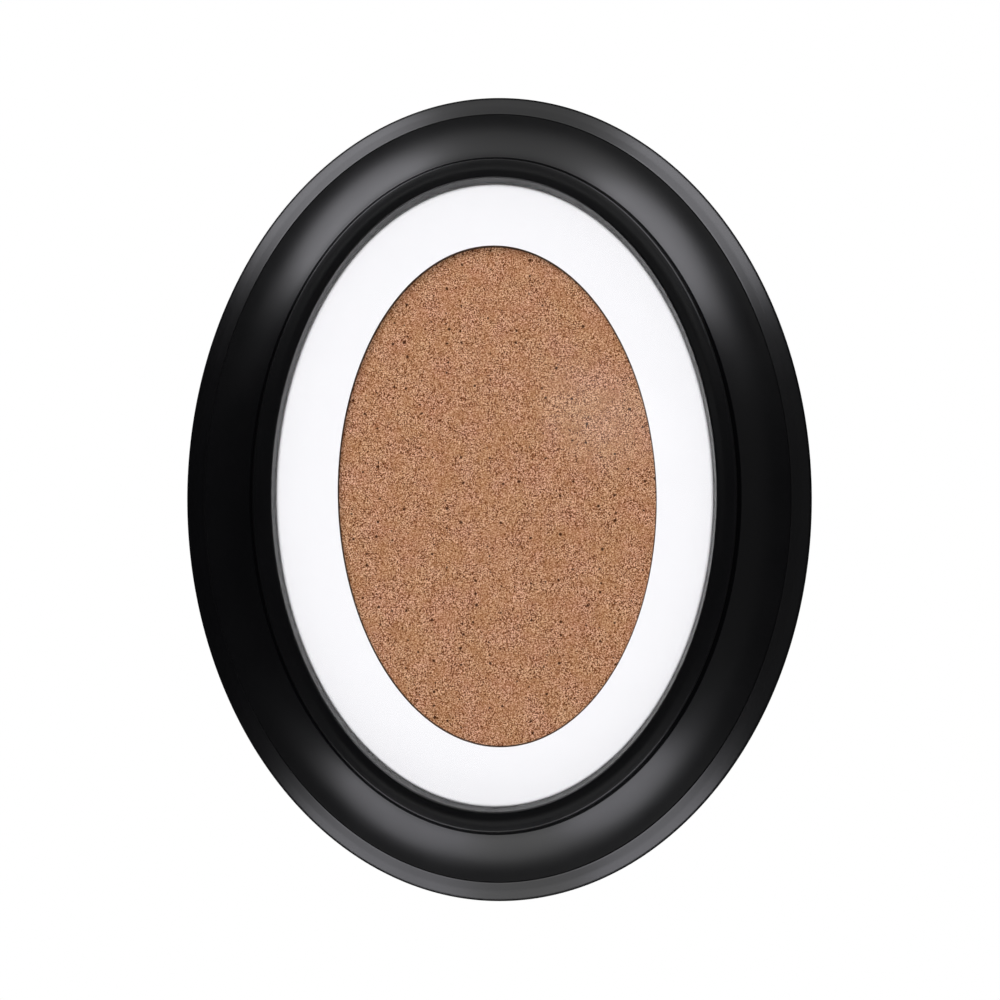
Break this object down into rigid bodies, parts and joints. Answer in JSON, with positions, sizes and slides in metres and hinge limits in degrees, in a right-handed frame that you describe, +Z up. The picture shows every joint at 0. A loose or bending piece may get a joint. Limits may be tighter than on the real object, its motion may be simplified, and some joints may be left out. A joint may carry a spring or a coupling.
{
  "type": "oval picture frame",
  "caption": "Oval wall picture frame: black turned moulding with glass, white window mat and hardboard back, held by swivelling turn buttons, with folding hanger rings.",
  "frame": {"origin": "centre of the oval, on the plane of the frame's flat back, which is the wall", "axes": "+Z up along the long axis, +Y into the wall, so the front faces -Y, and +X to the viewer's right"},
  "size_m": [0.1788, 0.016, 0.2296],
  "materials": {
    "black_lacquer": "satin black lacquer on turned wood",
    "clear_glass": "clear float glass",
    "white_card": "smooth white mat card",
    "hardboard": "brown hardboard, smooth front and ribbed back",
    "button_steel": "zinc-plated stamped steel",
    "rivet_steel": "zinc-plated steel rivet",
    "zinc_plate": "zinc-plated folded sheet",
    "ring_wire": "zinc-plated wire"
  },
  "bodies": {
    "frame": {"frame_moulding": "black_lacquer", "glass_pane": "clear_glass", "window_mat": "white_card", "backing_board": "hardboard", "turn_button_rivets": "rivet_steel", "top_hanger_strap": "zinc_plate", "side_hanger_strap": "zinc_plate", "hanger_rivets": "rivet_steel"},
    "turn_button_1": {"turn_button_1": "button_steel"},
    "turn_button_2": {"turn_button_2": "button_steel"},
    "turn_button_3": {"turn_button_3": "button_steel"},
    "turn_button_4": {"turn_button_4": "button_steel"},
    "turn_button_5": {"turn_button_5": "button_steel"},
    "turn_button_6": {"turn_button_6": "button_steel"},
    "turn_button_7": {"turn_button_7": "button_steel"},
    "turn_button_8": {"turn_button_8": "button_steel"},
    "top_hanger_ring": {"top_hanger_ring": "ring_wire"},
    "side_hanger_ring": {"side_hanger_ring": "ring_wire"}
  },
  "joints": [
    {"name": "turn_button_1_swivel", "type": "hinge", "parent": "frame", "child": "turn_button_1", "pos_m": [0.05128, -0.0042, 0.03096], "axis": [0, -1, 0], "continuous": true},
    {"name": "turn_button_2_swivel", "type": "hinge", "parent": "frame", "child": "turn_button_2", "pos_m": [0.02124, -0.0042, 0.07474], "axis": [0, -1, 0], "continuous": true},
    {"name": "turn_button_3_swivel", "type": "hinge", "parent": "frame", "child": "turn_button_3", "pos_m": [-0.02124, -0.0042, 0.07474], "axis": [0, -1, 0], "continuous": true},
    {"name": "turn_button_4_swivel", "type": "hinge", "parent": "frame", "child": "turn_button_4", "pos_m": [-0.05128, -0.0042, 0.03096], "axis": [0, -1, 0], "continuous": true},
    {"name": "turn_button_5_swivel", "type": "hinge", "parent": "frame", "child": "turn_button_5", "pos_m": [-0.05128, -0.0042, -0.03096], "axis": [0, -1, 0], "continuous": true},
    {"name": "turn_button_6_swivel", "type": "hinge", "parent": "frame", "child": "turn_button_6", "pos_m": [-0.02124, -0.0042, -0.07474], "axis": [0, -1, 0], "continuous": true},
    {"name": "turn_button_7_swivel", "type": "hinge", "parent": "frame", "child": "turn_button_7", "pos_m": [0.02124, -0.0042, -0.07474], "axis": [0, -1, 0], "continuous": true},
    {"name": "turn_button_8_swivel", "type": "hinge", "parent": "frame", "child": "turn_button_8", "pos_m": [0.05128, -0.0042, -0.03096], "axis": [0, -1, 0], "continuous": true},
    {"name": "top_hanger_fold", "type": "hinge", "parent": "frame", "child": "top_hanger_ring", "pos_m": [0, -0.00372, 0.079], "axis": [-1, 0, 0], "range_deg": [0, 167.5]},
    {"name": "side_hanger_fold", "type": "hinge", "parent": "frame", "child": "side_hanger_ring", "pos_m": [0.0536, -0.00372, 0], "axis": [0, 0, 1], "range_deg": [0, 167.5]}
  ]
}
